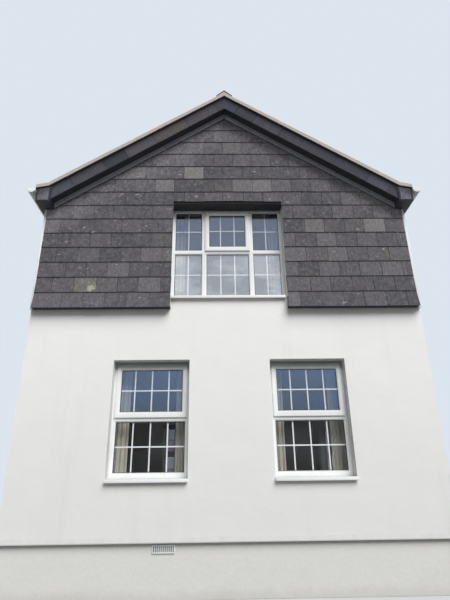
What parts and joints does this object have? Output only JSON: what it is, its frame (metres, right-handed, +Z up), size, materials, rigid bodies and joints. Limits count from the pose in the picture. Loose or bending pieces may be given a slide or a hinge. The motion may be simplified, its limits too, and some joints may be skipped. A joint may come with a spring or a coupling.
{
  "type": "slate-hung gabled house wing",
  "caption": "House wing with rendered walls, a slate-hung upper gable, slate roof, boxed eaves, gutters and white windows. Hollow, with floors, and stands on level ground.",
  "frame": {"origin": "middle of the footprint at ground level", "axes": "+X to the right across the front gable, +Y from the front gable to the back along the ridge, +Z up; the front gable faces -Y"},
  "size_m": [5.832, 7.21, 7.1803],
  "materials": {
    "render": "smooth painted render with faint trowel marks and rain streaks",
    "plinth_render": "painted render with soil splash near the ground",
    "concrete": "power-floated concrete",
    "timber": "sawn softwood and boards",
    "plaster": "painted plasterboard",
    "roof_slate": "riven natural slate",
    "ridge_clay": "weathered angular ridge tiles bedded in mortar",
    "hung_slate": "riven natural slate with pale lichen spots and chipped edges",
    "dark_board": "boards painted near black",
    "mortar": "weathered mortar with orange lichen",
    "white_plastic": "white moulded plastic",
    "window_plastic": "white extruded window section",
    "window_glass": "sealed double glazing",
    "curtain_cloth": "lined plain cotton"
  },
  "bodies": {
    "root": {"plinth": "plinth_render", "ground_floor": "concrete", "front_wall": "render", "back_wall": "render", "left_wall": "render", "right_wall": "render", "render_drip": "render", "first_floor": "timber", "attic_ceiling": "plaster", "left_roof_deck": "timber", "right_roof_deck": "timber", "left_roof_slates": "roof_slate", "right_roof_slates": "roof_slate", "ridge_tiles": "ridge_clay", "front_slate_hanging": "hung_slate", "back_slate_hanging": "hung_slate", "slate_edge_trims": "white_plastic", "front_bargeboard": "hung_slate", "back_bargeboard": "hung_slate", "front_verge_soffit": "dark_board", "back_verge_soffit": "dark_board", "front_verge_pointing": "mortar", "back_verge_pointing": "mortar", "front_box_ends": "hung_slate", "back_box_ends": "hung_slate", "left_eaves_box": "dark_board", "right_eaves_box": "dark_board", "left_gutter": "white_plastic", "right_gutter": "white_plastic", "gutter_brackets": "white_plastic", "front_window_frames": "window_plastic", "back_window_frames": "window_plastic", "side_window_frames": "window_plastic", "front_sashes": "window_plastic", "back_sashes": "window_plastic", "side_sashes": "window_plastic", "front_glass": "window_glass", "back_glass": "window_glass", "side_glass": "window_glass", "front_sills": "window_plastic", "back_sills": "window_plastic", "side_sills": "window_plastic", "air_vent": "white_plastic", "front_curtains": "curtain_cloth", "front_curtain_rails": "white_plastic"}
  },
  "joints": []
}
